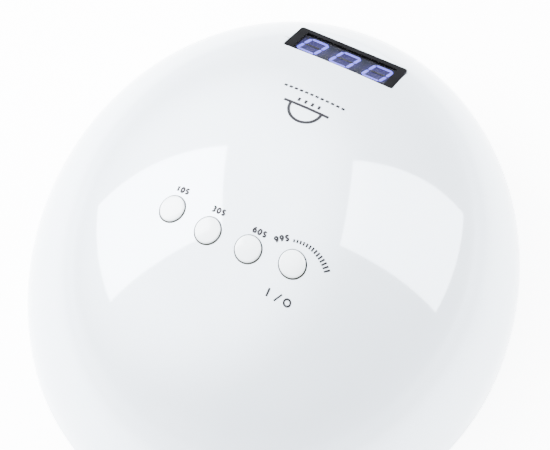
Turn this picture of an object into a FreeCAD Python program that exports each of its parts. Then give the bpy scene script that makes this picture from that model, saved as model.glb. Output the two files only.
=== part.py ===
"""Desk-top UV curing lamp: a leaning glossy dome over a hand cavity that opens to the front.

Row frame: millimetres, +Z up, origin on the table under the middle of the dome.
The hand opening and the time display face -Y, the four buttons and the power inlet face +Y.
Each function makes one sub-part, and the last section writes them to parts/NODE.step.
"""

import FreeCAD, Part
import math
import os
from FreeCAD import Matrix, Placement, Rotation, Vector

# ---------------------------------------------------------------- driving dimensions

HALF_WIDTH = 104.0        # dome skin at its widest, along X
HALF_DEPTH = 110.5        # dome skin at its widest, along Y
RIM_Z = 7.0               # height of the widest line
CROWN_Z = 103.5           # height of the top of the dome
LEAN = -0.16              # how far the dome leans to the front for each mm of height
SKIN = 2.4                # wall of the dome
SEAM_Z = 10.0             # top of the base ring
SEAM_GAP = 0.4            # shadow line between the base ring and the dome

RING_BOTTOM = 2.0         # underside of the base ring
TUCK = 7.5                # how far the ring curves in under the widest line, in percent of its radius
FOOT_RADIUS = 5.0
FOOT_DROP = 0.6           # how far a foot is let into the part above it

TRAY_BOTTOM = 1.5
TRAY_TOP = 4.2
PLATE = 0.8               # polished reflector plate that lies on the tray
BODY_GAP = 0.35           # clearance between the tray and the housing
LEDGE_Z = 5.4             # underside of the ledge that covers the edge of the tray
LEDGE_TOP = 8.4

CAVITY_X = 84.0           # half width of the hand cavity at its foot
CAVITY_Y = 86.0           # half depth of the hand cavity at its foot
CAVITY_RISE = 58.0        # height of the cavity's roof above the ledge
LINER = 1.8               # wall of the cavity's liner
MOUTH_X = 74.0            # half width of the hand opening
MOUTH_SPRING_Z = 12.0     # where the straight sides of the opening turn into its arch
MOUTH_RISE = 40.0         # height of that arch

LEDGE_INSET = 4.0         # how far the ledge stands into the cavity
TRAY_OVERLAP = 4.0        # how far the tray's edge goes under the wall of the cavity

BUTTON_RADIUS = 4.82
BUTTON_GAP = 0.43
BUTTON_SHIFT = 0.12       # how far the caps sit to +X in their holes
BUTTON_PROUD = 1.0        # height of a cap's crown above the skin
CROWN_RADIUS = 22.0       # radius of a cap's domed top
BUTTON_TRAVEL = 0.5
BUTTON_XY = {"10s": (25.1, 22.2), "30s": (8.4, 24.8), "60s": (-8.4, 24.8), "99s": (-25.1, 22.2)}

BOARD = 1.6               # thickness of a circuit board
CONTROL_TOP = 80.0        # upper face of the control board
CONTROL_X = 36.0
CONTROL_Y = (13.0, 38.0)
SWITCH_SIDE = 6.0
SWITCH_HEIGHT = 3.5
PLUNGER_RADIUS = 1.75
PLUNGER_TOP = 85.0
RUNNING_FIT = 0.06

WINDOW_Y = -71.4          # middle of the display window
WINDOW_Z = 85.7
WINDOW_TILT = 29.6        # degrees, down to the front
WINDOW_X = 47.6
WINDOW_V = 18.9
POCKET_STEP_LEAN = 24.0   # degrees that the step behind the window leans back from upright
POCKET_SHELF_RISE = 2.0   # degrees that the shelf in front of the window rises to the front
POCKET_FLOOR = 2.2

WINDOW_PANE = 1.0
BEZEL_TOP = -1.15         # front of the digit block's black rim, in the display's frame
DISPLAY_FACE = -1.6       # floor of the block's shallow tray, where the digits are
FLANGE_BACK = -3.4        # back of the block's flange
DISPLAY_BACK = -8.6
FACE_X = 40.4
FACE_V = (-6.6, 8.4)
SEGMENT = 0.25            # height of a digit's strokes above the tray

DIGIT_PITCH = 14.35
DIGIT_X = 8.8
DIGIT_V = 11.7
DIGIT_MIDDLE_V = 0.15
DIGIT_SLANT = 0.188
STROKE = 1.15
POINT_X = 1.75            # from a digit's stroke line to its point

LED_ROWS = ((28.0, 10, -14.0, 194.0), (52.0, 8, -24.0, 204.0), (75.0, 6, -60.0, 240.0))
LENS_RADIUS = 2.9
LENS_FIT = 0.2            # gap round a lens in the liner
EMITTER_RADIUS = 2.0
EMITTER = 0.8
STAR_RADIUS = 6.0
STAR = 1.2
STAR_GAP = 0.4            # between a star board and the liner behind which it sits
LOOM_RADIUS = 1.0

SENSOR_X = 5.0
SENSOR_Y = -78.0
SENSOR_RADIUS = 2.4
SENSOR_BOARD_Z = 57.0

INLET_Z = 19.0
INLET_RADIUS = 4.6        # round nose of the inlet in the dome's back wall
INLET_BODY_Y = (94.0, 103.0)
INLET_HALF = 5.0          # half the width and height of the inlet's body
PLUG_RADIUS = 3.0         # hole that the power plug goes into
PLUG_DEPTH = 9.5
PIN_RADIUS = 1.0
INLET_NOSE_Y = 107.0      # end of the inlet's nose
LEAD_RADIUS = 1.5

SCREW_RADIUS = 1.5
THREAD_GAP = 0.05         # round a screw in its pilot hole
HEAD_RADIUS = 2.8
SMALL_SCREW = 1.0
POST_RADIUS = 3.6
POST_ANGLES = (14.0, 64.0, 116.0, 166.0)
FRONT_POST = (83.0, -50.0)
TAB_ANGLES = (-15.0, 40.0, 140.0, 195.0)
TAB_RADIUS = 3.4
TAB_SCREW_RADIUS = 1.2
RING_FOOT_ANGLES = (27.0, 153.0)
RING_FOOT_FRONT = (84.8, -38.0)
VENT_ANGLES = (48, 52, 56, 70, 74, 78, 82, 98, 102, 106, 110, 124, 128, 132)
MAGNET_ANGLES = (-20.0, 60.0, 120.0, 200.0)
MAGNET_RADIUS = 2.6

FAR = 400.0               # larger than the lamp, for cutting tools


# ---------------------------------------------------------------- shared shapes

def box(low, high):
    """Box between two corners."""
    size = [b - a for a, b in zip(low, high)]
    return Part.makeBox(size[0], size[1], size[2], Vector(*low))


def slab(z_low, z_high):
    """Everything between two heights."""
    return box((-FAR, -FAR, z_low), (FAR, FAR, z_high))


def joined(shapes):
    """One solid from several that overlap."""
    result = shapes[0]
    if len(shapes) > 1:
        result = result.multiFuse(shapes[1:])
    return result.removeSplitter()


def disc(radius, z_low, z_high, x=0.0, y=0.0):
    """Upright cylinder."""
    return Part.makeCylinder(radius, z_high - z_low, Vector(x, y, z_low))


def oval(half_x, half_y, z_low, z_high):
    """Upright elliptical cylinder about the Z axis."""
    wide = max(half_x, half_y)
    barrel = disc(wide, z_low, z_high)
    shape = Matrix()
    shape.A11 = half_x / wide
    shape.A22 = half_y / wide
    return barrel.transformGeometry(shape)


def leaning_ball(inset):
    """The whole leaning ellipsoid that the dome's skin is the upper half of, made smaller by inset."""
    unit = 100.0
    rise = (CROWN_Z - RIM_Z - inset) / unit
    shape = Matrix()
    shape.A11 = (HALF_WIDTH - inset) / unit
    shape.A22 = (HALF_DEPTH - inset) / unit
    shape.A33 = rise
    shape.A23 = LEAN * rise
    shape.A34 = RIM_Z
    return Part.makeSphere(unit).transformGeometry(shape)


def skin_z(x, y):
    """Height of the dome's skin over a point, found by a few steps of correction for its lean."""
    rise = CROWN_Z - RIM_Z
    z = CROWN_Z
    for _ in range(40):
        across = (x / HALF_WIDTH) ** 2 + ((y - LEAN * (z - RIM_Z)) / HALF_DEPTH) ** 2
        z = RIM_Z + rise * math.sqrt(max(0.0, 1.0 - across))
    return z


def arch(half_width, rise, spring_z, bottom_z, y_front, y_back):
    """Tunnel along Y with straight sides and a half-elliptical roof."""
    middle = Vector(0, y_back, spring_z)
    right = Vector(half_width, y_back, spring_z)
    top = Vector(0, y_back, spring_z + rise)
    roof = Part.ArcOfEllipse(Part.Ellipse(right, top, middle), 0.0, math.pi).toShape()
    foot_right = Vector(half_width, y_back, bottom_z)
    foot_left = Vector(-half_width, y_back, bottom_z)
    left = Vector(-half_width, y_back, spring_z)
    sides = [
        Part.makeLine(left, foot_left),
        Part.makeLine(foot_left, foot_right),
        Part.makeLine(foot_right, right),
    ]
    face = Part.Face(Part.Wire([roof] + sides))
    return face.extrude(Vector(0, y_front - y_back, 0))


def footprint(grow, z_low, z_high, mouth_grow=None):
    """The cavity's plan, an oval that runs out to the front, grown by some amount."""
    sideways = grow if mouth_grow is None else mouth_grow
    front = box((-MOUTH_X - sideways, -FAR, z_low), (MOUTH_X + sideways, -20.0, z_high))
    return joined([oval(CAVITY_X + grow, CAVITY_Y + grow, z_low, z_high), front])


def on_oval(grow, degrees):
    """Point on the cavity's oval, grown outward, at an angle from +X towards the back."""
    angle = math.radians(degrees)
    return (CAVITY_X + grow) * math.cos(angle), (CAVITY_Y + grow) * math.sin(angle)


def mirrored(place):
    """The same place on both sides of the lamp."""
    return [(side * place[0], place[1]) for side in (-1, 1)]


def rounded_slab(size_x, size_v, radius, n_low, n_high):
    """Plate with rounded corners in the local frame of the display."""
    half_x, half_v = size_x / 2, size_v / 2
    plate = box((-half_x, -half_v, n_low), (half_x, half_v, n_high))
    upright = [e for e in plate.Edges if abs(e.tangentAt(e.FirstParameter).z) > 0.9]
    return plate.makeFillet(radius, upright)


def at_window(shape):
    """Moves a shape from the display's frame, X across, Y up the slope and Z out of it, into place."""
    moved = shape.copy()
    moved.Placement = Placement(Vector(0, WINDOW_Y, WINDOW_Z), Rotation(Vector(1, 0, 0), WINDOW_TILT))
    return moved


def run_and_arc(points):
    """Wire of straight runs that are joined by tangent arcs."""
    edges = []
    start = points[0]
    for before, corner, after in zip(points, points[1:], points[2:]):
        into, out = corner - before, after - corner
        turn = into.getAngle(out)
        reach = 0.45 * min(into.Length, out.Length)
        arc_from = corner - into.normalize() * reach
        arc_to = corner + out.normalize() * reach
        bend = reach / math.tan(turn / 2)
        inward = ((arc_from + arc_to) * 0.5 - corner).normalize()
        middle = corner + inward * (bend / math.cos(turn / 2) - bend)
        edges.append(Part.makeLine(start, arc_from))
        edges.append(Part.Arc(arc_from, middle, arc_to).toShape())
        start = arc_to
    edges.append(Part.makeLine(start, points[-1]))
    return Part.Wire(edges)


def tube(route, radius):
    """Round lead along a route."""
    points = [Vector(*place) for place in route]
    ring = Part.Wire(Part.makeCircle(radius, points[0], points[1] - points[0]))
    return run_and_arc(points).makePipeShell([ring], True, False)


def group(solids):
    """Several separate solids in one node."""
    return Part.makeCompound(solids)


# ---------------------------------------------------------------- base: tray, ring and what is on them

def base_tray():
    """Removable tray that closes the cavity from below, with a lip across the hand opening."""
    plan = oval(HALF_WIDTH - 8.0, HALF_DEPTH - 8.0, TRAY_BOTTOM, SEAM_Z)
    floor = footprint(TRAY_OVERLAP, TRAY_BOTTOM, TRAY_TOP, -BODY_GAP)
    lip = footprint(TRAY_OVERLAP, TRAY_BOTTOM, LEDGE_TOP, -BODY_GAP)
    lip_back = oval(HALF_WIDTH - 7.5, HALF_DEPTH - 7.5, TRAY_TOP, SEAM_Z)
    lip = lip.cut(lip_back).cut(box((-FAR, -60.0, 0.0), (FAR, FAR, SEAM_Z)))
    tray = joined([floor.common(plan), lip.common(ring_skin())])
    for x, y in tray_foot_places():
        tray = tray.cut(disc(FOOT_RADIUS + 0.1, 0.0, TRAY_BOTTOM + FOOT_DROP, x, y))
    return tray


def reflector_plate():
    """Polished steel sheet on the tray. The housing's magnets hold the tray by it."""
    plan = footprint(TRAY_OVERLAP - 1.0, TRAY_TOP, TRAY_TOP + PLATE, -BODY_GAP - 1.0)
    return plan.common(oval(HALF_WIDTH - 8.0, HALF_DEPTH - 8.0, 0.0, SEAM_Z))


def tray_foot_places():
    return [(x, y) for x in (-58.0, 58.0) for y in (-62.0, 48.0)]


def tray_feet():
    """Rubber discs that are let into the underside of the tray."""
    return group([disc(FOOT_RADIUS, 0.0, TRAY_BOTTOM + FOOT_DROP, x, y) for x, y in tray_foot_places()])


def ring_foot_places():
    back = [on_oval(11.3, angle) for angle in RING_FOOT_ANGLES]
    return back + mirrored(RING_FOOT_FRONT)


def housing_feet():
    """Rubber discs under the base ring."""
    return group(
        [disc(FOOT_RADIUS - 1.4, 0.0, RING_BOTTOM + FOOT_DROP, x, y) for x, y in ring_foot_places()]
    )


def post_places():
    return [on_oval(10.6, angle) for angle in POST_ANGLES] + mirrored(FRONT_POST)


def tab_places():
    return [on_oval(8.6, angle) for angle in TAB_ANGLES]


def ring_skin():
    """Outside of the ring and the lip: the dome's skin, then a quarter round that tucks in under it."""
    radius = 100.0
    bottom = Vector(radius - TUCK, 0, RING_BOTTOM)
    widest = Vector(radius, 0, RIM_Z)
    turn = math.pi / 4
    bulge = Vector(
        radius - TUCK + TUCK * math.sin(turn), 0, RIM_Z - (RIM_Z - RING_BOTTOM) * math.cos(turn)
    )
    profile = Part.Wire([
        Part.Arc(bottom, bulge, widest).toShape(),
        Part.makeLine(widest, Vector(0, 0, RIM_Z)),
        Part.makeLine(Vector(0, 0, RIM_Z), Vector(0, 0, RING_BOTTOM)),
        Part.makeLine(Vector(0, 0, RING_BOTTOM), bottom),
    ])
    turned = Part.Face(profile).revolve(Vector(0, 0, 0), Vector(0, 0, 1), 360)
    shape = Matrix()
    shape.A11 = HALF_WIDTH / radius
    shape.A22 = HALF_DEPTH / radius
    tucked = turned.transformGeometry(shape)
    return joined([tucked, leaning_ball(0.0).common(slab(RIM_Z, SEAM_Z))])


def base_ring():
    """Open-fronted ring that the dome is screwed to. Its ledge lies over the tray's edge."""
    ring = ring_skin()
    channel = oval(HALF_WIDTH - SKIN, HALF_DEPTH - SKIN, LEDGE_Z, FAR)
    wall = footprint(TRAY_OVERLAP + 2.0, RING_BOTTOM, LEDGE_TOP)
    bosses = [disc(POST_RADIUS + 0.3, LEDGE_Z - 1.0, SEAM_Z + SEAM_GAP, x, y) for x, y in post_places()]
    bosses += [disc(TAB_RADIUS, LEDGE_Z - 1.0, LEDGE_TOP, x, y) for x, y in tab_places()]
    bosses.append(box((-INLET_HALF, INLET_BODY_Y[0], LEDGE_Z - 1.0),
                      (INLET_HALF, INLET_BODY_Y[1] - 1.0, INLET_Z - INLET_HALF)))
    inside = oval(HALF_WIDTH - SKIN / 2, HALF_DEPTH - SKIN / 2, 0.0, FAR)
    ring = joined([ring.cut(channel), ring.common(wall)] + [boss.common(inside) for boss in bosses])
    ring = ring.cut(footprint(-LEDGE_INSET, 0.0, FAR, 0.0))
    ring = ring.cut(footprint(TRAY_OVERLAP + BODY_GAP, 0.0, LEDGE_Z, BODY_GAP))
    ring = ring.cut(footprint(LINER + 0.2, LEDGE_TOP, FAR))
    for x, y in tab_places():
        ring = ring.cut(disc(TAB_SCREW_RADIUS + THREAD_GAP, RING_BOTTOM + 1.4, FAR, x, y))
    for angle in VENT_ANGLES:
        ring = ring.cut(vent(angle))
    for x, y in post_places():
        ring = ring.cut(disc(SCREW_RADIUS + 0.2, 0.0, FAR, x, y))
        ring = ring.cut(disc(HEAD_RADIUS + 0.3, 0.0, RING_BOTTOM + 1.6, x, y))
    for x, y in ring_foot_places():
        ring = ring.cut(disc(FOOT_RADIUS - 1.3, 0.0, RING_BOTTOM + FOOT_DROP, x, y))
    for x, y in magnet_places():
        ring = ring.cut(disc(MAGNET_RADIUS, LEDGE_Z + 0.6, FAR, x, y))
    return ring


def vent(degrees):
    """Radial slot in the ring's underside that lets air up into the housing."""
    x, y = on_oval(10.5, degrees)
    slot = box((-3.5, -1.0, 0.0), (3.5, 1.0, LEDGE_Z + 0.5))
    heading = math.degrees(math.atan2(y, x))
    slot.Placement = Placement(Vector(x, y, 0), Rotation(Vector(0, 0, 1), heading))
    return slot


def magnet_places():
    return [on_oval(0.2, angle) for angle in MAGNET_ANGLES]


def tray_magnets():
    """Discs in the ring's ledge that hold the tray's steel plate."""
    return group([disc(MAGNET_RADIUS, LEDGE_Z + 0.6, LEDGE_TOP, x, y) for x, y in magnet_places()])


# ---------------------------------------------------------------- the dome

def pocket_tool():
    """What is cut away over the display: a leaning step, the window's plane and a level shelf."""
    run = 40.0
    half_v = WINDOW_V / 2 + 0.1
    step = math.radians(90.0 - POCKET_STEP_LEAN - WINDOW_TILT)
    shelf = math.radians(180.0 - POCKET_SHELF_RISE - WINDOW_TILT)
    profile = [
        Vector(-FAR, half_v + run * math.cos(step), run * math.sin(step)),
        Vector(-FAR, half_v, 0),
        Vector(-FAR, -half_v, 0),
        Vector(-FAR, -half_v + run * math.cos(shelf), run * math.sin(shelf)),
    ]
    profile.append(profile[0])
    return at_window(Part.Face(Part.makePolygon(profile)).extrude(Vector(2 * FAR, 0, 0)))


def top_shell():
    """Glossy dome with the hand opening, the display's pocket, the button holes and the screw posts."""
    above_seam = slab(SEAM_Z + SEAM_GAP, FAR)
    skin = leaning_ball(0.0)
    core = leaning_ball(SKIN)
    shell = skin.cut(core).common(above_seam)
    inside = leaning_ball(SKIN / 2).common(above_seam)
    pad = at_window(box((-31.0, -13.5, -POCKET_FLOOR), (31.0, WINDOW_V / 2 + 5.0, 12.0)))
    posts = [disc(POST_RADIUS, SEAM_Z + SEAM_GAP, CROWN_Z, x, y) for x, y in post_places()]
    posts += [disc(POST_RADIUS - 0.8, CONTROL_TOP, CROWN_Z, x, y) for x, y in control_post_places()]
    posts += [
        at_window(disc(POST_RADIUS - 1.2, DISPLAY_BACK, -POCKET_FLOOR + 0.5, x, v))
        for x, v in display_post_places()
    ]
    added = [part.common(inside) for part in posts]
    added.append(pad.common(leaning_ball(0.0)))
    shell = joined([shell] + added)
    mouth = arch(
        MOUTH_X + LINER + 0.25, MOUTH_RISE + LINER + 0.25, MOUTH_SPRING_Z, -10.0, -FAR, -40.0
    )
    shell = shell.cut(mouth).cut(pocket_tool())
    shell = shell.cut(at_window(rounded_slab(WINDOW_X + 0.2, WINDOW_V + 0.2, 1.6, -20.0, 1.0)))
    rebate = box((-25.3, -10.9, FLANGE_BACK - 6.0), (25.3, 10.9, -POCKET_FLOOR))
    shell = shell.cut(at_window(rebate))
    for x, y in BUTTON_XY.values():
        shell = shell.cut(disc(BUTTON_RADIUS + BUTTON_GAP, CONTROL_TOP, FAR, x, y))
    for x, y in post_places():
        shell = shell.cut(disc(SCREW_RADIUS + THREAD_GAP, 0.0, SEAM_Z + 12.0, x, y))
    for x, y in control_post_places():
        shell = shell.cut(disc(SMALL_SCREW + THREAD_GAP, 0.0, CONTROL_TOP + 4.5, x, y))
    for x, v in display_post_places():
        pilot = disc(SMALL_SCREW + THREAD_GAP, DISPLAY_BACK - 1.0, DISPLAY_BACK + 5.5, x, v)
        shell = shell.cut(at_window(pilot))
    inlet = Part.makeCylinder(INLET_RADIUS + 0.1, 60.0, Vector(0, 80, INLET_Z), Vector(0, 1, 0))
    return shell.cut(inlet)


def control_post_places():
    return [(x, y) for x in (-CONTROL_X + 3.5, CONTROL_X - 3.5) for y in (16.5, 34.5)]


def display_post_places():
    return [(x, v) for x in (-27.6, 27.6) for v in (-7.5, 7.5)]


# ---------------------------------------------------------------- the liner and its lamps

def cavity(grow):
    """Room for a hand: half an ellipsoid with an arched tunnel to the front, grown by some amount."""
    unit = 100.0
    shape = Matrix()
    shape.A11 = (CAVITY_X + grow) / unit
    shape.A22 = (CAVITY_Y + grow) / unit
    shape.A33 = (CAVITY_RISE + grow) / unit
    shape.A34 = LEDGE_TOP
    vault = Part.makeSphere(unit).transformGeometry(shape).common(slab(LEDGE_TOP, FAR))
    tunnel = arch(MOUTH_X + grow, MOUTH_RISE + grow, MOUTH_SPRING_Z, LEDGE_TOP, -FAR, -30.0)
    return joined([vault, tunnel])


def lamp_places():
    """Point on the liner's inside and the direction into the cavity, for each lamp."""
    places = []
    for rise, count, first, last in LED_ROWS:
        for i in range(count):
            around = math.radians(first + (last - first) * i / (count - 1))
            up = math.radians(rise)
            unit = Vector(
                math.cos(up) * math.cos(around), math.cos(up) * math.sin(around), math.sin(up)
            )
            point = Vector(unit.x * CAVITY_X, unit.y * CAVITY_Y, LEDGE_TOP + unit.z * CAVITY_RISE)
            outward = Vector(unit.x / CAVITY_X, unit.y / CAVITY_Y, unit.z / CAVITY_RISE)
            places.append((point, outward.normalize() * -1))
    return places


def at_lamp(shape, place):
    """Moves a shape made along +Z, with 0 on the star board's face, to one lamp's place."""
    point, inward = place
    moved = shape.copy()
    moved.Placement = Placement(
        point - inward * (LINER + STAR_GAP), Rotation(Vector(0, 0, 1), inward)
    )
    return moved


def inner_reflector():
    """White liner of the cavity, with a flange that lies on the base ring."""
    wall = cavity(LINER).cut(cavity(0.0)).common(leaning_ball(0.6))
    flange = footprint(5.6, LEDGE_TOP, SEAM_Z, LINER).cut(footprint(0.0, 0.0, FAR))
    tabs = [disc(TAB_RADIUS, LEDGE_TOP, SEAM_Z, x, y) for x, y in tab_places()]
    tabs = [tab.cut(footprint(0.0, 0.0, FAR)) for tab in tabs]
    studs = [disc(2.0, 52.6, SENSOR_BOARD_Z, x, SENSOR_Y) for x in (-SENSOR_X - 6.0, SENSOR_X + 6.0)]
    flange = flange.common(leaning_ball(SKIN + 0.5))
    liner = joined([wall, flange] + tabs + [stud.cut(cavity(0.0)) for stud in studs])
    for x, y in tab_places():
        liner = liner.cut(disc(TAB_SCREW_RADIUS + 0.2, 0.0, FAR, x, y))
    for x, y in mirrored((SENSOR_X, SENSOR_Y)):
        liner = liner.cut(disc(SENSOR_RADIUS + LENS_FIT, 40.0, 60.0, x, y))
    for place in lamp_places():
        liner = liner.cut(at_lamp(disc(LENS_RADIUS + LENS_FIT, -1.0, 6.0), place))
    return liner


def lamp_boards():
    """Star-shaped circuit boards behind the liner, one for each lamp."""
    board = disc(STAR_RADIUS, -STAR, 0.0)
    for i in range(6):
        angle = math.radians(60 * i)
        notch = disc(1.1, -STAR, 0.0, STAR_RADIUS * math.cos(angle), STAR_RADIUS * math.sin(angle))
        board = board.cut(notch)
    return group([at_lamp(board, place) for place in lamp_places()])


def lamp_emitters():
    """Emitter package on each star board."""
    return group([at_lamp(disc(EMITTER_RADIUS, 0.0, EMITTER), place) for place in lamp_places()])


def lamp_lenses():
    """Clear domed lens over each emitter, through the liner."""
    neck = LINER + STAR_GAP
    lens = joined([
        disc(LENS_RADIUS, 0.0, neck),
        Part.makeSphere(LENS_RADIUS, Vector(0, 0, neck)).common(slab(neck - 0.5, FAR)),
    ])
    lens = lens.cut(disc(EMITTER_RADIUS + 0.3, 0.0, EMITTER + 0.3))
    return group([at_lamp(lens, place) for place in lamp_places()])


def lamp_loom():
    """One lead behind each row of star boards."""
    stand_off = LINER + STAR_GAP + STAR + LOOM_RADIUS + 0.8
    leads = []
    for rise, count, first, last in LED_ROWS:
        up = math.radians(rise)
        z = LEDGE_TOP + (CAVITY_RISE + stand_off) * math.sin(up)
        half_x = (CAVITY_X + stand_off) * math.cos(up)
        half_y = (CAVITY_Y + stand_off) * math.cos(up)
        oval_line = Part.Ellipse(Vector(0, half_y, z), Vector(-half_x, 0, z), Vector(0, 0, z))
        start, end = math.radians(first - 90.0), math.radians(last - 90.0)
        path = Part.ArcOfEllipse(oval_line, start, end).toShape()
        origin = path.valueAt(path.FirstParameter)
        along = path.tangentAt(path.FirstParameter)
        ring = Part.Wire(Part.makeCircle(LOOM_RADIUS, origin, along))
        leads.append(Part.Wire(path).makePipeShell([ring], True, False))
    return group(leads)


def hand_sensors():
    """Emitter and receiver that look down from the tunnel's roof and start the lamp."""
    sensors = []
    for x, y in mirrored((SENSOR_X, SENSOR_Y)):
        barrel = disc(SENSOR_RADIUS, 53.0, SENSOR_BOARD_Z, x, y)
        tip = Part.makeSphere(SENSOR_RADIUS, Vector(x, y, 53.0)).common(slab(0.0, 53.5))
        sensors.append(joined([barrel, tip]))
    return group(sensors)


def sensor_board():
    """Small board over the tunnel that carries the sensors."""
    return box((-14.0, SENSOR_Y - 6.0, SENSOR_BOARD_Z), (14.0, SENSOR_Y + 6.0, SENSOR_BOARD_Z + STAR))


# ---------------------------------------------------------------- the display

def display_window():
    """Smoked pane in front of the digits."""
    return at_window(rounded_slab(WINDOW_X, WINDOW_V, 1.5, -WINDOW_PANE - 0.1, -0.1))


def display_module():
    """Block with a black rim and a shallow tray for the digits, held behind the pocket's floor."""
    rim = rounded_slab(WINDOW_X - 0.4, WINDOW_V - 0.4, 1.3, -POCKET_FLOOR - 0.1, BEZEL_TOP)
    flange = box((-25.0, -10.6, FLANGE_BACK), (25.0, 10.6, -POCKET_FLOOR - 0.05))
    block = box((-22.4, -8.6, DISPLAY_BACK), (22.4, 8.6, FLANGE_BACK + 0.1))
    tray = box((-FACE_X / 2, FACE_V[0], DISPLAY_FACE), (FACE_X / 2, FACE_V[1], 0.0))
    return at_window(joined([rim, flange, block]).cut(tray))


def bar(start, end, width):
    """One stroke of a digit: a thin bar with pointed ends."""
    along = (end - start).normalize()
    side = Vector(-along.y, along.x, 0) * (width / 2)
    tip = along * (width / 2)
    corners = [start, start + tip + side, end - tip + side, end, end - tip - side, start + tip - side]
    outline = Part.makePolygon(corners + corners[:1])
    return Part.Face(outline).extrude(Vector(0, 0, SEGMENT))


def digit_point(middle_x, across, along):
    """Point of a slanted digit: across and along run from -1 to 1 over its stroke lines."""
    rise = along * (DIGIT_V - STROKE) / 2
    x = middle_x + across * (DIGIT_X - STROKE) / 2 + rise * DIGIT_SLANT
    return Vector(x, DIGIT_MIDDLE_V + rise, DISPLAY_FACE)


def digit_bar(middle_x, from_to):
    """Stroke between two points of a digit, with a small gap at each end."""
    start, end = (digit_point(middle_x, *corner) for corner in from_to)
    gap = (end - start).normalize() * 0.25
    return bar(start + gap, end - gap, STROKE)


def digit_middles():
    return [DIGIT_PITCH * i for i in (-1, 0, 1)]


def display_lit_bars():
    """The six strokes of each digit that show a nought."""
    strokes = (
        ((-1, -1), (-1, 0)),
        ((-1, 0), (-1, 1)),
        ((-1, 1), (1, 1)),
        ((1, 1), (1, 0)),
        ((1, 0), (1, -1)),
        ((1, -1), (-1, -1)),
    )
    return group([at_window(digit_bar(x, stroke)) for x in digit_middles() for stroke in strokes])


def display_dark_bars():
    """The middle stroke and the point of each digit, which stay unlit."""
    bars = []
    for x in digit_middles():
        bars.append(digit_bar(x, ((-1, 0), (1, 0))))
        point = digit_point(x, 1, -1)
        bars.append(disc(0.65, DISPLAY_FACE, DISPLAY_FACE + SEGMENT, point.x + POINT_X, point.y))
    return group([at_window(shape) for shape in bars])


def display_board():
    """Circuit board behind the digits, screwed to the pocket's posts."""
    board = box((-31.0, -11.0, DISPLAY_BACK - BOARD), (31.0, 11.0, DISPLAY_BACK))
    for x, v in display_post_places():
        board = board.cut(disc(SMALL_SCREW + 0.2, -FAR, FAR, x, v))
    return at_window(board)


def display_socket():
    """Connector under the display's board."""
    low = DISPLAY_BACK - BOARD
    return at_window(box((-8.5, 2.0, low - 3.0), (8.5, 7.0, low)))


# ---------------------------------------------------------------- the controls

def control_board():
    """Circuit board under the buttons."""
    low = CONTROL_TOP - BOARD
    board = box((-CONTROL_X, CONTROL_Y[0], low), (CONTROL_X, CONTROL_Y[1], CONTROL_TOP))
    for x, y in control_post_places():
        board = board.cut(disc(SMALL_SCREW + 0.2, 0.0, FAR, x, y))
    return board


def switch_bodies():
    """Push switch under each button."""
    half = SWITCH_SIDE / 2
    bodies = []
    for x, y in BUTTON_XY.values():
        body = box(
            (x - half, y - half, CONTROL_TOP), (x + half, y + half, CONTROL_TOP + SWITCH_HEIGHT)
        )
        well = disc(PLUNGER_RADIUS + RUNNING_FIT, CONTROL_TOP + 0.5, FAR, x, y)
        bodies.append(body.cut(well))
    return group(bodies)


def plunger(x, y):
    """Plunger of one push switch."""
    return disc(PLUNGER_RADIUS, CONTROL_TOP + 0.5 + BUTTON_TRAVEL + 0.2, PLUNGER_TOP, x, y)


def skin_normal(x, y):
    """Direction straight out of the dome's skin."""
    z = skin_z(x, y)
    upright = (y - LEAN * (z - RIM_Z)) / HALF_DEPTH ** 2
    rise = (z - RIM_Z) / (CROWN_Z - RIM_Z) ** 2
    return Vector(x / HALF_WIDTH ** 2, upright, rise - LEAN * upright).normalize()


def button(x, y):
    """Push button: a domed cap that follows the skin, a retaining flange and a stem."""
    crown = Vector(x, y, skin_z(x, y)) + skin_normal(x, y) * (BUTTON_PROUD - CROWN_RADIUS)
    flange_top = skin_z(x, y) - SKIN - 3.2
    x += BUTTON_SHIFT
    cap = disc(BUTTON_RADIUS, flange_top - 1.0, CROWN_Z + 5.0, x, y)
    cap = cap.common(Part.makeSphere(CROWN_RADIUS, crown))
    flange = disc(BUTTON_RADIUS + 1.1, flange_top - 1.0, flange_top, x, y)
    stem = disc(PLUNGER_RADIUS + 0.25, PLUNGER_TOP, flange_top, x, y)
    return joined([cap, flange, stem])


def controller_chip():
    return box((-5.0, 13.6, CONTROL_TOP), (5.0, 19.6, CONTROL_TOP + 1.6))


def power_transistors():
    """Two switching transistors under the control board."""
    low = CONTROL_TOP - BOARD
    return group([box((x - 3.3, 17.0, low - 2.3), (x + 3.3, 23.0, low)) for x in (-13.0, 13.0)])


def capacitors():
    """Two smoothing capacitors under the control board."""
    low = CONTROL_TOP - BOARD
    return group([disc(4.0, low - 8.0, low, x, 31.0) for x in (-23.0, 23.0)])


def buzzer():
    low = CONTROL_TOP - BOARD
    return disc(4.8, low - 5.5, low, 0.0, 33.0).cut(disc(0.8, low - 6.0, low - 4.0, 0.0, 33.0))


def control_sockets():
    """Connectors under the control board, for the ribbon and the power lead."""
    low = CONTROL_TOP - BOARD
    ribbon_socket = box((-8.5, CONTROL_Y[0] + 0.4, low - 3.0), (8.5, CONTROL_Y[0] + 4.4, low))
    power_socket = box((-17.0, 33.0, low - 5.0), (-9.0, CONTROL_Y[1] - 0.4, low))
    return group([ribbon_socket, power_socket])


# ---------------------------------------------------------------- inlet and leads

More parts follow.
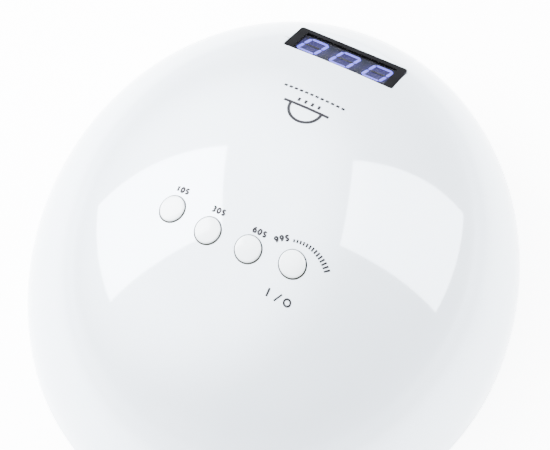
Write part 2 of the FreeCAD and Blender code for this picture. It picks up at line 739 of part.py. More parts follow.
def inlet_body():
    """Power inlet: a block inside the housing with a round nose through the back wall."""
    y_in, y_out = INLET_BODY_Y
    body = box(
        (-INLET_HALF, y_in, INLET_Z - INLET_HALF), (INLET_HALF, y_out - 0.3, INLET_Z + INLET_HALF)
    )
    nose = Part.makeCylinder(
        INLET_RADIUS, INLET_NOSE_Y - y_in, Vector(0, y_in, INLET_Z), Vector(0, 1, 0)
    )
    hole = Part.makeCylinder(
        PLUG_RADIUS, PLUG_DEPTH + 5.0, Vector(0, INLET_NOSE_Y - PLUG_DEPTH, INLET_Z), Vector(0, 1, 0)
    )
    return joined([body, nose]).cut(hole)


def inlet_pin():
    """Centre pin of the inlet."""
    start = INLET_NOSE_Y - PLUG_DEPTH
    pin = Part.makeCylinder(PIN_RADIUS, PLUG_DEPTH - 1.5, Vector(0, start, INLET_Z), Vector(0, 1, 0))
    tip = [e for e in pin.Edges if abs(e.BoundBox.YMin - (INLET_NOSE_Y - 1.5)) < 0.01 and e.Closed]
    return pin.makeFillet(0.4, tip)


def power_lead():
    """Lead from the inlet up behind the liner to the control board."""
    top = INLET_Z + INLET_HALF + 0.3
    route = [(0, 98, top), (0, 96, 36), (-3, 81, 54), (-9, 60, 69), (-13, 38.2, 75.6)]
    return tube(route, LEAD_RADIUS)


def display_ribbon():
    """Flat cable from the control board to the display, over the liner."""
    start = at_window(Part.Vertex(0, 7.0, DISPLAY_BACK - BOARD - 1.5)).Point
    leaving = Rotation(Vector(1, 0, 0), WINDOW_TILT).multVec(Vector(0, 12.0, 0))
    end = Vector(0, CONTROL_Y[0] + 0.4, CONTROL_TOP - BOARD - 1.5)
    route = [start, start + leaving, Vector(0, -22.0, 84.0), end - Vector(0, 12.0, 0), end]
    path = run_and_arc(route)
    across = Vector(7.0, 0, 0)
    thick = leaving.cross(across).normalize() * 0.35
    upper = [start + across + thick, start - across + thick]
    lower = [start - across - thick, start + across - thick]
    corners = upper + lower
    section = Part.makePolygon(corners + corners[:1])
    return path.makePipeShell([section], True, False)


# ---------------------------------------------------------------- screws

def screw(radius, length, head_radius, head_height):
    """Pan-head screw along +Z: the head's flat top at 0 faces down, and a cross recess is cut in it."""
    head = disc(head_radius, 0.0, head_height)
    rim = [e for e in head.Edges if e.Closed and abs(e.BoundBox.ZMax) < 0.01]
    head = head.makeFillet(head_height * 0.55, rim)
    body = joined([head, disc(radius, head_height - 0.2, head_height + length)])
    arm, half = head_radius * 0.6, head_radius * 0.13
    for low, high in (((-arm, -half), (arm, half)), ((-half, -arm), (half, arm))):
        body = body.cut(box((*low, -1.0), (*high, head_height * 0.6)))
    return body


def upright_screws(places, head_z, *sizes):
    """The same screw, pointing up, at several places."""
    master = screw(*sizes)
    screws = []
    for x, y in places:
        one = master.copy()
        one.translate(Vector(x, y, head_z))
        screws.append(one)
    return group(screws)


def shell_screws():
    """Six screws up through the base ring into the dome's posts."""
    return upright_screws(post_places(), RING_BOTTOM + 0.2, SCREW_RADIUS, 15.0, HEAD_RADIUS, 1.4)


def liner_screws():
    """Four screws down through the liner's tabs into the base ring."""
    upside_down = upright_screws(
        [(x, -y) for x, y in tab_places()], -(SEAM_Z + 1.3), TAB_SCREW_RADIUS, 6.0, 2.3, 1.3
    )
    upside_down.rotate(Vector(0, 0, 0), Vector(1, 0, 0), 180)
    return upside_down


def control_screws():
    """Four screws up through the control board."""
    head_z = CONTROL_TOP - BOARD - 1.1
    return upright_screws(control_post_places(), head_z, SMALL_SCREW, 5.5, 2.0, 1.1)


def display_screws():
    """Four screws through the display's board."""
    head_z = DISPLAY_BACK - BOARD - 1.1
    return at_window(upright_screws(display_post_places(), head_z, SMALL_SCREW, 6.0, 2.0, 1.1))


# ---------------------------------------------------------------- sub-parts

PARTS = {
    make.__name__: make
    for make in (
        base_tray, reflector_plate, tray_feet, base_ring, housing_feet, tray_magnets, top_shell,
        inner_reflector, lamp_boards, lamp_emitters, lamp_lenses, lamp_loom, hand_sensors, sensor_board,
        display_window, display_module, display_lit_bars, display_dark_bars, display_board,
        display_socket, display_ribbon, control_board, switch_bodies, controller_chip,
        power_transistors, capacitors, buzzer, control_sockets, inlet_body, inlet_pin, power_lead,
        shell_screws, liner_screws, control_screws, display_screws,
    )
}

os.makedirs("parts", exist_ok=True)
for name, make in PARTS.items():
    make().exportStep("parts/" + name + ".step")
for name, (x, y) in BUTTON_XY.items():
    button(x, y).exportStep("parts/button_" + name + ".step")
    plunger(x, y).exportStep("parts/plunger_" + name + ".step")
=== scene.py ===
"""Looks of the UV curing lamp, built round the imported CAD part.

Shapes are made in millimetres in the row frame: +Z up, the hand opening and the display face -Y,
the buttons and the power inlet face +Y. They become metres as each object is finished.
"""

import math

import bmesh
import bpy
from mathutils import Matrix, Vector


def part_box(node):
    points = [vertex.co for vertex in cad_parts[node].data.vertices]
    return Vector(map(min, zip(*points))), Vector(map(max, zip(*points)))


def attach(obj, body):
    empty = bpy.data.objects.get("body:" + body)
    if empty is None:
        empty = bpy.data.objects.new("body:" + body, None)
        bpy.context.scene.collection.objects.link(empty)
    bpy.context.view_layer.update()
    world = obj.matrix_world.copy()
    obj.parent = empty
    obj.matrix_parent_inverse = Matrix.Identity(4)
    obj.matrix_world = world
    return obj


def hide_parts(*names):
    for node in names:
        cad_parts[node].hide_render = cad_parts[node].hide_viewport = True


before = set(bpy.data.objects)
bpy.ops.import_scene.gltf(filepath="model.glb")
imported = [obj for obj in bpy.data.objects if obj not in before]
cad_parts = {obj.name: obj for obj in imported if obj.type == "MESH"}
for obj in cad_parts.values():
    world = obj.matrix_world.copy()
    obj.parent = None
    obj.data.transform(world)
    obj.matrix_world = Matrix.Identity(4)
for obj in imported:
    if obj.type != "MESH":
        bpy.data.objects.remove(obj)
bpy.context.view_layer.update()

MM = 0.001

# ---------------------------------------------------------------- the dome's skin, as in the CAD part

HALF_WIDTH, HALF_DEPTH = 104.0, 110.5
RIM_Z, CROWN_Z = 7.0, 103.5
LEAN = -0.16
ON_SKIN = 0.0004          # how near to level 1 a point on the skin is
FACES_OUT = 0.9           # least cosine between a face of the skin and the skin's own direction


def skin_z(x, y):
    """Height of the dome's skin over a point."""
    z = CROWN_Z
    for _ in range(30):
        across = (x / HALF_WIDTH) ** 2 + ((y - LEAN * (z - RIM_Z)) / HALF_DEPTH) ** 2
        z = RIM_Z + (CROWN_Z - RIM_Z) * math.sqrt(max(0.0, 1.0 - across))
    return z


def skin_level(x, y, z):
    """1 on the skin, less inside it."""
    up = (z - RIM_Z) / (CROWN_Z - RIM_Z)
    back = (y - LEAN * (z - RIM_Z)) / HALF_DEPTH
    return math.sqrt((x / HALF_WIDTH) ** 2 + back ** 2 + up ** 2)


def skin_normal(x, y, z):
    """Direction straight out of the skin."""
    back = (y - LEAN * (z - RIM_Z)) / HALF_DEPTH ** 2
    rise = (z - RIM_Z) / (CROWN_Z - RIM_Z) ** 2
    return Vector((x / HALF_WIDTH ** 2, back, rise - LEAN * back)).normalized()


def on_skin(x, y, lift):
    """Point on the skin over (x, y), lifted straight out of it."""
    z = skin_z(x, y)
    return Vector((x, y, z)) + skin_normal(x, y, z) * lift


# ---------------------------------------------------------------- the display's slope, as in the CAD part

WINDOW_Y, WINDOW_Z = -71.4, 85.7
WINDOW_TILT = 29.6              # degrees, down to the front
FACE_N = -1.6                   # floor of the digit block's tray, out of the display's frame
FACE_HALF_X = 20.15
FACE_V = (-6.55, 8.35)          # lower and upper edge of the face, up the slope
FACE_MIDDLE_V = (FACE_V[0] + FACE_V[1]) / 2
FACE_HALF_V = (FACE_V[1] - FACE_V[0]) / 2
FACE_CORNER = 0.5
DIGIT_PITCH = 14.35
DIGIT_MIDDLE_V = 0.15


def at_window(point):
    """Point in the display's frame, X across, Y up the slope, Z out of it, in the row frame."""
    turned = Matrix.Rotation(math.radians(WINDOW_TILT), 3, "X") @ point
    return turned + Vector((0.0, WINDOW_Y, WINDOW_Z))


# ---------------------------------------------------------------- materials

def node_tree(name):
    """New material with its node tree and its main shader."""
    material = bpy.data.materials.new(name)
    material.use_nodes = True
    tree = material.node_tree
    return material, tree, tree.nodes["Principled BSDF"]


def noise_of(tree, scale, detail=3.0, stretch=(1.0, 1.0, 1.0)):
    """Noise in object space; scale is in features per metre."""
    place = tree.nodes.new("ShaderNodeTexCoord")
    mapping = tree.nodes.new("ShaderNodeMapping")
    mapping.inputs["Scale"].default_value = stretch
    noise = tree.nodes.new("ShaderNodeTexNoise")
    noise.inputs["Scale"].default_value = scale
    noise.inputs["Detail"].default_value = detail
    tree.links.new(place.outputs["Object"], mapping.inputs["Vector"])
    tree.links.new(mapping.outputs["Vector"], noise.inputs["Vector"])
    return noise.outputs[0]


def ramp_of(tree, value, low, high, start=0.35, end=0.65):
    """Colour that runs from low to high as the value does."""
    ramp = tree.nodes.new("ShaderNodeValToRGB")
    ramp.color_ramp.elements[0].position = start
    ramp.color_ramp.elements[1].position = end
    ramp.color_ramp.elements[0].color = (*low, 1.0)
    ramp.color_ramp.elements[1].color = (*high, 1.0)
    tree.links.new(value, ramp.inputs["Fac"])
    return ramp.outputs["Color"]


def range_of(tree, value, low, high):
    """Number that runs from low to high as the value runs through its middle part."""
    scaled = tree.nodes.new("ShaderNodeMapRange")
    scaled.inputs["From Min"].default_value = 0.3
    scaled.inputs["From Max"].default_value = 0.7
    scaled.inputs["To Min"].default_value = low
    scaled.inputs["To Max"].default_value = high
    tree.links.new(value, scaled.inputs["Value"])
    return scaled.outputs["Result"]


def smooth_range(tree, value, start, end, low, high):
    """Number that runs smoothly from low to high as the value runs from start to end."""
    scaled = tree.nodes.new("ShaderNodeMapRange")
    scaled.interpolation_type = "SMOOTHSTEP"
    scaled.inputs["From Min"].default_value = start
    scaled.inputs["From Max"].default_value = end
    scaled.inputs["To Min"].default_value = low
    scaled.inputs["To Max"].default_value = high
    tree.links.new(value, scaled.inputs["Value"])
    return scaled.outputs["Result"]


RELIEF = 0.0002                 # depth of a finish's fine relief, in metres
RELIEF_GRAIN = 900.0            # features of that relief per metre


def surface(name, low, high, rough, grain, bump=0.0, stretch=(1, 1, 1), **sockets):
    """Procedural finish: colour and roughness that drift a little, and a fine relief.

    Colour runs from low to high, and rough is the pair that roughness runs between. Grain is in
    features per metre. Any other socket of the main shader is given by its name.
    """
    material, tree, shader = node_tree(name)
    drift = noise_of(tree, grain, stretch=stretch)
    tree.links.new(ramp_of(tree, drift, low, high), shader.inputs["Base Color"])
    tree.links.new(range_of(tree, drift, *rough), shader.inputs["Roughness"])
    if bump:
        relief = tree.nodes.new("ShaderNodeBump")
        relief.inputs["Strength"].default_value = bump
        relief.inputs["Distance"].default_value = RELIEF
        tree.links.new(noise_of(tree, RELIEF_GRAIN, 5.0, stretch), relief.inputs["Height"])
        tree.links.new(relief.outputs["Normal"], shader.inputs["Normal"])
    for socket, value in sockets.items():
        shader.inputs[socket.replace("_", " ")].default_value = value
    return material


PEARL = surface(
    "pearl_lacquer", (0.50, 0.55, 0.61), (0.52, 0.57, 0.63), (0.05, 0.075), 25.0,
    Metallic=0.24, Specular_IOR_Level=0.04,
)
CAP_WHITE = surface(
    "cap_white", (0.52, 0.555, 0.585), (0.56, 0.595, 0.62), (0.14, 0.18), 60.0,
    Metallic=0.1, Specular_IOR_Level=0.15,
)
# Dark olive for a cap's steep side, flange and stem: painted shade for the deep gap round the cap
CAP_SIDE_PAINTED_SHADE = surface("cap_side_painted_shade", (0.035, 0.035, 0.022), (0.055, 0.055, 0.038), (0.4, 0.55), 400.0)
# Satin finish for the display's facet; its tone, lighter than the dome's, is painted light from the front
SHELF_SATIN_PAINTED_LIGHT = surface(
    "satin_shelf_painted_light", (0.54, 0.575, 0.62), (0.56, 0.595, 0.64), (0.25, 0.32), 60.0,
    Metallic=0.1, Specular_IOR_Level=0.15,
)
LINER_WHITE = surface("liner_white", (0.78, 0.78, 0.78), (0.84, 0.84, 0.84), (0.3, 0.4), 60.0, 0.05)
STEEL_PLATE = surface(
    "polished_sheet", (0.62, 0.63, 0.64), (0.74, 0.75, 0.76), (0.12, 0.2), 300.0, 0.04,
    stretch=(0.05, 1.0, 1.0), Metallic=1.0,
)
RUBBER = surface("foot_rubber", (0.03, 0.03, 0.03), (0.055, 0.055, 0.055), (0.75, 0.9), 400.0, 0.3)
PRINT = surface(
    "printed_black", (0.008, 0.008, 0.010), (0.014, 0.014, 0.016), (0.55, 0.7), 2500.0,
    Specular_IOR_Level=0.08,
)
BLACK = surface("moulded_black", (0.012, 0.012, 0.013), (0.03, 0.03, 0.032), (0.35, 0.55), 500.0, 0.1)
SCREW = surface(
    "zinc_steel", (0.42, 0.43, 0.44), (0.58, 0.59, 0.6), (0.25, 0.4), 700.0, 0.05, Metallic=1.0
)
NICKEL = surface("nickel", (0.6, 0.6, 0.58), (0.72, 0.72, 0.7), (0.15, 0.25), 500.0, Metallic=1.0)
CAN = surface("aluminium_can", (0.55, 0.56, 0.57), (0.68, 0.69, 0.7), (0.25, 0.35), 500.0, Metallic=1.0)
GREEN_BOARD = surface(
    "green_board", (0.006, 0.06, 0.025), (0.012, 0.1, 0.045), (0.3, 0.45), 900.0, 0.2, Coat_Weight=0.4
)
WHITE_BOARD = surface("white_board", (0.68, 0.68, 0.66), (0.78, 0.78, 0.76), (0.35, 0.5), 900.0, 0.1)
PHOSPHOR = surface("phosphor", (0.55, 0.42, 0.06), (0.66, 0.52, 0.1), (0.5, 0.6), 2500.0, 0.2)
IVORY = surface("ivory_nylon", (0.55, 0.5, 0.4), (0.66, 0.62, 0.52), (0.45, 0.6), 700.0, 0.1)
CABLE = surface(
    "ribbon_grey", (0.3, 0.3, 0.31), (0.4, 0.4, 0.41), (0.45, 0.55), 900.0, 0.2, stretch=(8, 1, 1)
)
SENSOR = surface("sensor_dark", (0.01, 0.006, 0.02), (0.02, 0.012, 0.04), (0.1, 0.2), 900.0)


WINDOW_ALPHA = 0.12             # how much the pane hides over the digits
BORDER_SOFTNESS = (-0.6, 0.2)   # where its painted border starts and is full, out from the face's edge


def window_finish():
    """Smoked window: nearly clear over the digits, painted black from behind along its border."""
    material, tree, shader = node_tree("smoked_window")
    drift = noise_of(tree, 90.0)
    tree.links.new(range_of(tree, drift, 0.03, 0.06), shader.inputs["Roughness"])
    smoke = ramp_of(tree, drift, (0.0014, 0.0014, 0.0018), (0.0024, 0.0024, 0.003))
    tree.links.new(smoke, shader.inputs["Base Color"])
    shader.inputs["Specular IOR Level"].default_value = 0.03
    place = tree.nodes.new("ShaderNodeTexCoord")
    flat = tree.nodes.new("ShaderNodeMapping")
    back_turn = Matrix.Rotation(-math.radians(WINDOW_TILT), 3, "X")
    flat.inputs["Rotation"].default_value = (-math.radians(WINDOW_TILT), 0.0, 0.0)
    flat.inputs["Location"].default_value = back_turn @ Vector((0.0, -WINDOW_Y, -WINDOW_Z)) * MM
    split = tree.nodes.new("ShaderNodeSeparateXYZ")
    tree.links.new(place.outputs["Object"], flat.inputs["Vector"])
    tree.links.new(flat.outputs["Vector"], split.inputs["Vector"])
    alphas = []
    for axis, middle, half in (("X", 0.0, FACE_HALF_X), ("Y", FACE_MIDDLE_V, FACE_HALF_V)):
        away = tree.nodes.new("ShaderNodeMath")
        away.operation = "SUBTRACT"
        away.inputs[1].default_value = middle * MM
        tree.links.new(split.outputs[axis], away.inputs[0])
        size = tree.nodes.new("ShaderNodeMath")
        size.operation = "ABSOLUTE"
        tree.links.new(away.outputs["Value"], size.inputs[0])
        start, end = ((half + edge) * MM for edge in BORDER_SOFTNESS)
        alphas.append(smooth_range(tree, size.outputs["Value"], start, end, WINDOW_ALPHA, 1.0))
    alpha = tree.nodes.new("ShaderNodeMath")
    alpha.operation = "MAXIMUM"
    tree.links.new(alphas[0], alpha.inputs[0])
    tree.links.new(alphas[1], alpha.inputs[1])
    tree.links.new(alpha.outputs["Value"], shader.inputs["Alpha"])
    return material


def glow_finish(name, colour, strength, spread):
    """Light-emitting surface whose colour drifts a little, from colour to spread."""
    material, tree, shader = node_tree(name)
    drift = noise_of(tree, 700.0)
    shader.inputs["Base Color"].default_value = (0.05, 0.05, 0.12, 1.0)
    tree.links.new(ramp_of(tree, drift, colour, spread), shader.inputs["Emission Color"])
    shader.inputs["Emission Strength"].default_value = strength
    shader.inputs["Roughness"].default_value = 0.4
    shader.inputs["Specular IOR Level"].default_value = 0.1
    return material


LENS = surface(
    "clear_lens", (0.9, 0.92, 0.96), (0.97, 0.98, 1.0), (0.02, 0.06), 600.0,
    Transmission_Weight=0.9, IOR=1.45,
)
WINDOW = window_finish()
LIT = glow_finish("lit_bar", (0.115, 0.10, 1.0), 3.0, (0.17, 0.15, 1.0))
UNLIT = surface(
    "unlit_bar", (0.013, 0.013, 0.019), (0.019, 0.019, 0.026), (0.4, 0.5), 900.0, Specular_IOR_Level=0.1
)


PAINTED_GLOW_REACH = (0.003, 0.0085)    # where the painted glow round a digit starts to fade and is gone, in metres


def face_finish():
    """Slate face round the digits, with a painted violet glow for the light each lit digit throws on it.
    """
    material, tree, shader = node_tree("digit_face")
    drift = noise_of(tree, 500.0)
    slate = ramp_of(tree, drift, (0.005, 0.006, 0.008), (0.008, 0.009, 0.012))
    tree.links.new(slate, shader.inputs["Base Color"])
    shader.inputs["Roughness"].default_value = 0.5
    shader.inputs["Specular IOR Level"].default_value = 0.08
    place = tree.nodes.new("ShaderNodeTexCoord")
    total = None
    for middle in (-DIGIT_PITCH, 0.0, DIGIT_PITCH):
        centre = at_window(Vector((middle, DIGIT_MIDDLE_V, FACE_N))) * MM
        gap = tree.nodes.new("ShaderNodeVectorMath")
        gap.operation = "DISTANCE"
        gap.inputs[1].default_value = centre
        tree.links.new(place.outputs["Object"], gap.inputs[0])
        near = smooth_range(tree, gap.outputs["Value"], *PAINTED_GLOW_REACH, 1.0, 0.0)
        both = tree.nodes.new("ShaderNodeMath")
        both.operation = "ADD"
        both.use_clamp = True
        tree.links.new(near, both.inputs[0])
        if total:
            tree.links.new(total, both.inputs[1])
        else:
            both.inputs[1].default_value = 0.0
        total = both.outputs["Value"]
    # Painted glow: the face's own emission, faint all over and strongest near each digit
    haze = ramp_of(tree, total, (0.04, 0.042, 0.08), (0.07, 0.055, 0.30), 0.0, 1.0)
    tree.links.new(haze, shader.inputs["Emission Color"])
    shader.inputs["Emission Strength"].default_value = 1.0
    return material


# ---------------------------------------------------------------- meshes

def finish_object(name, bm, material, body, nodes=(), angle=35.0):
    """Makes the object from a mesh in millimetres, gives it its finish and ties it to its body.

    It takes the place of the CAD nodes given. Edges sharper than angle, in degrees, look sharp.
    """
    bm.normal_update()
    mesh = bpy.data.meshes.new(name)
    bm.transform(Matrix.Scale(MM, 4))
    bm.to_mesh(mesh)
    bm.free()
    mesh.polygons.foreach_set("use_smooth", [True] * len(mesh.polygons))
    mesh.set_sharp_from_angle(angle=math.radians(angle))
    obj = bpy.data.objects.new(name, mesh)
    bpy.context.scene.collection.objects.link(obj)
    mesh.materials.append(material)
    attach(obj, body)
    if nodes:
        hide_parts(*nodes)
    return obj


WELD = 0.0005                           # points nearer than this are one
FLAT = math.radians(0.4)                # faces that meet at less than this are one flat face
SHARP = math.radians(38.0)              # edges sharper than this can be rounded


def cad_mesh(node):
    """The CAD node's mesh in millimetres, welded, with its flat faces made whole."""
    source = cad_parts[node].data
    bm = bmesh.new()
    corners = [bm.verts.new(v.co / MM) for v in source.vertices]
    for polygon in source.polygons:
        bm.faces.new([corners[i] for i in polygon.vertices])
    bmesh.ops.remove_doubles(bm, verts=bm.verts, dist=WELD)
    bmesh.ops.dissolve_limit(bm, angle_limit=FLAT, verts=bm.verts, edges=bm.edges)
    return bm


def round_edges(bm, width, segments, keep):
    """Rounds the sharp edges that keep() picks."""
    sharp = [
        e for e in bm.edges
        if e.is_manifold and e.calc_face_angle(0.0) > SHARP and keep(e)
    ]
    bmesh.ops.bevel(
        bm, geom=sharp, offset=width, segments=segments, profile=0.5, affect="EDGES",
        clamp_overlap=False,
    )


def skin_shading(obj):
    """Gives each corner on the dome's skin the skin's own direction, so that it shines evenly."""
    mesh = obj.data
    normals = [n.vector.copy() for n in mesh.corner_normals]
    for polygon in mesh.polygons:
        for i in polygon.loop_indices:
            x, y, z = mesh.vertices[mesh.loops[i].vertex_index].co / MM
            if z >= RIM_Z - 0.01 and abs(skin_level(x, y, z) - 1.0) < ON_SKIN:
                straight = skin_normal(x, y, z)
                if straight.dot(polygon.normal) > FACES_OUT:
                    normals[i] = straight
    mesh.normals_split_custom_set(normals)


def second_finish(obj, material, chosen):
    """Gives the faces that chosen() picks another finish."""
    obj.data.materials.append(material)
    for face in obj.data.polygons:
        if chosen(face):
            face.material_index = 1


def lathe(profile, steps):
    """Turned shape about Z from (radius, height) pairs; closed where the radius is 0."""
    bm = bmesh.new()
    rings = []
    for radius, height in profile:
        if radius < 1e-6:
            rings.append([bm.verts.new((0.0, 0.0, height))])
        else:
            rings.append([
                bm.verts.new((
                    radius * math.cos(2 * math.pi * i / steps),
                    radius * math.sin(2 * math.pi * i / steps),
                    height,
                ))
                for i in range(steps)
            ])
    for low, high in zip(rings, rings[1:]):
        for i in range(steps):
            j = (i + 1) % steps
            face = [low[i % len(low)], low[j % len(low)], high[j % len(high)], high[i % len(high)]]
            face = [v for k, v in enumerate(face) if v not in face[:k]]
            bm.faces.new(face)
    bmesh.ops.recalc_face_normals(bm, faces=bm.faces)
    return bm


def add_copy(target, source, matrix):
    """Adds a moved copy of one mesh to another."""
    corners = {v: target.verts.new(matrix @ v.co) for v in source.verts}
    for face in source.faces:
        target.faces.new([corners[v] for v in face.verts])


# ---------------------------------------------------------------- housing and tray

EDGE_ROUND = 0.22               # on the edges of the dome's top, its pocket and its button holes
TOP_Z = 60.0                    # the edges above this are rounded
SHELF_AREA = 20.0               # least area of the pocket's flat floor, to tell it from slivers
PARALLEL = 0.9999               # least cosine between two directions that are the same


def housing():
    """Dome with its upper edges rounded, ring, tray and liner."""
    dome = cad_mesh("top_shell")
    round_edges(dome, EDGE_ROUND, 3, lambda e: min(v.co.z for v in e.verts) > TOP_Z)
    skin = finish_object("dome_skin", dome, PEARL, "housing", ["top_shell"])
    skin_shading(skin)
    slope = Matrix.Rotation(math.radians(WINDOW_TILT), 3, "X") @ Vector((0.0, 0.0, 1.0))

    def on_slope(face):
        return face.normal.dot(slope) > PARALLEL and face.area > SHELF_AREA * MM ** 2

    # The sloped facet gets the satin finish with painted light.
    second_finish(skin, SHELF_SATIN_PAINTED_LIGHT, on_slope)
    ring = cad_mesh("base_ring")
    skin_shading(finish_object("ring_skin", ring, PEARL, "housing", ["base_ring"]))
    tray = cad_mesh("base_tray")
    skin_shading(finish_object("tray_rim", tray, PEARL, "tray", ["base_tray"]))
    liner = cad_mesh("inner_reflector")
    finish_object("liner_skin", liner, LINER_WHITE, "housing", ["inner_reflector"], 25.0)


def foot_places(body):
    """Middle of each foot of a body."""
    if body == "tray":
        return [(x, y) for x in (-58.0, 58.0) for y in (-62.0, 48.0)]
    back = [(95.3 * math.cos(a), 97.3 * math.sin(a)) for a in map(math.radians, (27.0, 153.0))]
    return back + [(-84.8, -38.0), (84.8, -38.0)]


def feet():
    """Turned rubber feet with two rings pressed into their soles."""
    for node, body, radius in (("tray_feet", "tray", 5.0), ("housing_feet", "housing", 3.6)):
        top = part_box(node)[1].z / MM
        sole = [
            (0.0, 0.0), (radius * 0.3, 0.0), (radius * 0.33, 0.18), (radius * 0.4, 0.18),
            (radius * 0.43, 0.0), (radius * 0.62, 0.0), (radius * 0.65, 0.18), (radius * 0.72, 0.18),
            (radius * 0.75, 0.0), (radius - 0.25, 0.0), (radius - 0.07, 0.07), (radius, 0.25),
            (radius, top), (0.0, top),
        ]
        one = lathe(sole, 40)
        whole = bmesh.new()
        for x, y in foot_places(body):
            add_copy(whole, one, Matrix.Translation((x, y, 0.0)))
        one.free()
        finish_object(node + "_turned", whole, RUBBER, body, [node])


# ---------------------------------------------------------------- buttons

BUTTON_RADIUS = 4.82
BUTTON_SHIFT = 0.12             # how far the caps sit to +X in their holes
BUTTON_PROUD = 1.0              # height of a cap's crown above the skin
CROWN_RADIUS = 22.0
CAP_EDGE = 0.45                 # rounding of a cap's edge
FLANGE_DROP = 5.6               # from the skin down to the top of a cap's flange
FLANGE_OUT = 1.1
FLANGE = 1.0
STEM_RADIUS = 2.0
PLUNGER_TOP = 85.0
BUTTON_XY = {"10s": (25.1, 22.2), "30s": (8.4, 24.8), "60s": (-8.4, 24.8), "99s": (-25.1, 22.2)}


def button_cap(name, x, y):
    """Push button: a domed cap with a rounded edge, on its flange and stem."""
    base_z = skin_z(x, y)
    out = skin_normal(x, y, base_z)
    centre = Vector((x, y, base_z)) + out * (BUTTON_PROUD - CROWN_RADIUS)
    flange_top = base_z - FLANGE_DROP
    x += BUTTON_SHIFT
    steps = 64
    bm = bmesh.new()

    def crown_z(px, py):
        return centre.z + math.sqrt(CROWN_RADIUS ** 2 - (px - centre.x) ** 2 - (py - centre.y) ** 2)

    def ring(radius, drop=0.0, height=None):
        corners = []
        for i in range(steps):
            angle = 2 * math.pi * i / steps
            px, py = x + radius * math.cos(angle), y + radius * math.sin(angle)
            z = crown_z(px, py) - drop if height is None else height
            corners.append(bm.verts.new((px, py, z)))
        return corners

    top = bm.verts.new((x, y, crown_z(x, y)))
    flat_radius = BUTTON_RADIUS - CAP_EDGE
    loops = [ring(flat_radius * i / 8) for i in range(1, 9)]
    for i in range(1, 7):
        turn = math.radians(15 * i)
        loops.append(ring(flat_radius + CAP_EDGE * math.sin(turn), CAP_EDGE * (1 - math.cos(turn))))
    for radius, height in (
        (BUTTON_RADIUS, flange_top),
        (BUTTON_RADIUS + FLANGE_OUT, flange_top),
        (BUTTON_RADIUS + FLANGE_OUT, flange_top - FLANGE),
        (STEM_RADIUS, flange_top - FLANGE),
        (STEM_RADIUS, PLUNGER_TOP),
    ):
        loops.append(ring(radius, height=height))
    for i in range(steps):
        bm.faces.new([top, loops[0][i], loops[0][(i + 1) % steps]])
    for low, high in zip(loops, loops[1:]):
        for i in range(steps):
            j = (i + 1) % steps
            bm.faces.new([low[i], high[i], high[j], low[j]])
    bm.faces.new(reversed(loops[-1]))
    bmesh.ops.recalc_face_normals(bm, faces=bm.faces)
    node = "button_" + name
    cap = finish_object("cap_" + name, bm, CAP_WHITE, "key_" + name, [node], 40.0)

    # The faces picked here get the painted shade of the gap round the cap.
    def painted_gap_shade(face):
        steep = face.normal.z < 0.3
        low = face.center.z / MM < flange_top + 0.1
        return steep or low

    second_finish(cap, CAP_SIDE_PAINTED_SHADE, painted_gap_shade)


# ---------------------------------------------------------------- printing on the dome

FILM_TOP, FILM_BOTTOM = 0.11, -0.05    # the printed film's two faces, out from the skin
LONG_EDGE = 1.2                        # longer edges of a film are cut, so that it follows the skin
FIGURE_HEIGHT = 2.5
FIGURE_STROKE, FIGURE_PITCH = 0.29, 0.78    # as shares of a figure's height
ARC_MIDDLE = (-26.0, 28.5)             # of the printing on an arc over the last button
ARC_RADIUS = 15.0
ARC_START = math.radians(34.0)


def film(name, flat, place):
    """Thin printed film: a flat mesh, in millimetres, laid on the skin by place(u, v) -> (x, y)."""
    bmesh.ops.triangulate(flat, faces=flat.faces)
    long_edges = [e for e in flat.edges if e.calc_length() > LONG_EDGE]
    if long_edges:
        bmesh.ops.subdivide_edges(flat, edges=long_edges, cuts=3)
        bmesh.ops.triangulate(flat, faces=flat.faces)
    spots = [place(v.co.x, v.co.y) for v in flat.verts]
    bm = bmesh.new()
    upper = [bm.verts.new(on_skin(x, y, FILM_TOP)) for x, y in spots]
    lower = [bm.verts.new(on_skin(x, y, FILM_BOTTOM)) for x, y in spots]
    flat.verts.index_update()
    for face in flat.faces:
        index = [v.index for v in face.verts]
        bm.faces.new([upper[i] for i in index])
        bm.faces.new([lower[i] for i in reversed(index)])
    for edge in flat.edges:
        if len(edge.link_faces) == 1:
            a, b = (v.index for v in edge.verts)
            bm.faces.new([upper[a], upper[b], lower[b], lower[a]])
    flat.free()
    bmesh.ops.recalc_face_normals(bm, faces=bm.faces)
    finish_object(name, bm, PRINT, "housing")


def stroke(bm, points, width, closed=False):
    """Adds a line of a given width through points in the plane."""
    spots = [Vector(p) for p in points]
    count = len(spots)
    sides = []
    for i, spot in enumerate(spots):
        before = spots[(i - 1) % count] if closed or i else spot
        after = spots[(i + 1) % count] if closed or i < count - 1 else spot
        along = (after - before).normalized()
        side = Vector((-along.y, along.x)) * (width / 2)
        sides.append((bm.verts.new((*(spot + side), 0.0)), bm.verts.new((*(spot - side), 0.0))))
    for i in range(count if closed else count - 1):
        (a, b), (c, d) = sides[i], sides[(i + 1) % count]
        bm.faces.new([a, b, d, c])


def arc_points(x, y, radius, first, last, steps):
    """Points on a circle between two angles in degrees."""
    angles = [math.radians(first + (last - first) * i / steps) for i in range(steps + 1)]
    return [(x + radius * math.cos(a), y + radius * math.sin(a)) for a in angles]


